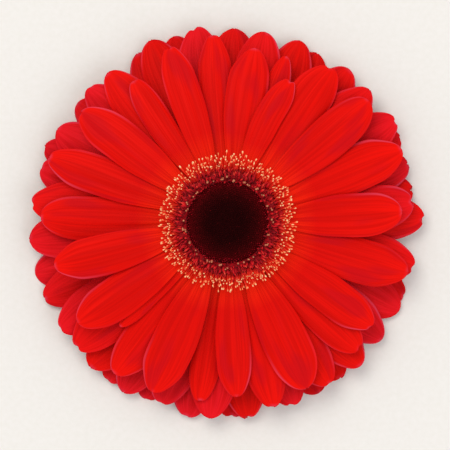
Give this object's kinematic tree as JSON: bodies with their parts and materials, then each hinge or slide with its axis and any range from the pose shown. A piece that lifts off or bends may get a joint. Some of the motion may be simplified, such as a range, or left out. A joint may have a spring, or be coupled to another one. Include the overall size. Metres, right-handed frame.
{
  "type": "gerbera flower head",
  "caption": "Cut head of a red gerbera with a dark eye, a fringed ring of short florets and layered strap petals, lying face up on its lowest petals.",
  "frame": {"origin": "on the surface that the head lies on, under the middle of its eye, which is the middle of the cut end of the stem", "axes": "+Z out of the face of the flower, +Y towards the top of the flower as it is seen from the front, +X to its right"},
  "size_m": [0.11, 0.1079, 0.0242],
  "materials": {
    "front_florets": "satin",
    "back_florets": "satin",
    "stem": "matte",
    "upper_bracts": "matte",
    "lower_bracts": "matte",
    "closed_buds": "matte",
    "inner_florets": "matte",
    "fringe_florets": "matte"
  },
  "bodies": {
    "root": {"bracts_lower": "lower_bracts", "bracts_upper": "upper_bracts", "disc_buds": "closed_buds", "fringe_florets": "fringe_florets", "inner_florets": "inner_florets", "ray_floret_back_01": "back_florets", "ray_floret_back_02": "back_florets", "ray_floret_back_03": "back_florets", "ray_floret_back_04": "back_florets", "ray_floret_back_05": "back_florets", "ray_floret_back_06": "back_florets", "ray_floret_back_07": "back_florets", "ray_floret_back_08": "back_florets", "ray_floret_back_09": "back_florets", "ray_floret_back_10": "back_florets", "ray_floret_back_11": "back_florets", "ray_floret_back_12": "back_florets", "ray_floret_back_13": "back_florets", "ray_floret_back_14": "back_florets", "ray_floret_back_15": "back_florets", "ray_floret_back_16": "back_florets", "ray_floret_back_17": "back_florets", "ray_floret_back_18": "back_florets", "ray_floret_back_19": "back_florets", "ray_floret_back_20": "back_florets", "ray_floret_back_21": "back_florets", "ray_floret_back_22": "back_florets", "ray_floret_back_23": "back_florets", "ray_floret_back_24": "back_florets", "ray_floret_back_25": "back_florets", "ray_floret_back_26": "back_florets", "ray_floret_back_27": "back_florets", "ray_floret_front_01": "front_florets", "ray_floret_front_02": "front_florets", "ray_floret_front_03": "front_florets", "ray_floret_front_04": "front_florets", "ray_floret_front_05": "front_florets", "ray_floret_front_06": "front_florets", "ray_floret_front_07": "front_florets", "ray_floret_front_08": "front_florets", "ray_floret_front_09": "front_florets", "ray_floret_front_10": "front_florets", "ray_floret_front_11": "front_florets", "ray_floret_front_12": "front_florets", "ray_floret_front_13": "front_florets", "ray_floret_front_14": "front_florets", "ray_floret_front_15": "front_florets", "ray_floret_front_16": "front_florets", "ray_floret_front_17": "front_florets", "ray_floret_front_18": "front_florets", "ray_floret_front_19": "front_florets", "ray_floret_front_20": "front_florets", "ray_floret_front_21": "front_florets", "ray_floret_front_22": "front_florets", "ray_floret_front_23": "front_florets", "ray_floret_front_24": "front_florets", "ray_floret_front_25": "front_florets", "ray_floret_front_26": "front_florets", "ray_floret_front_27": "front_florets", "stem_and_receptacle": "stem"}
  },
  "joints": []
}
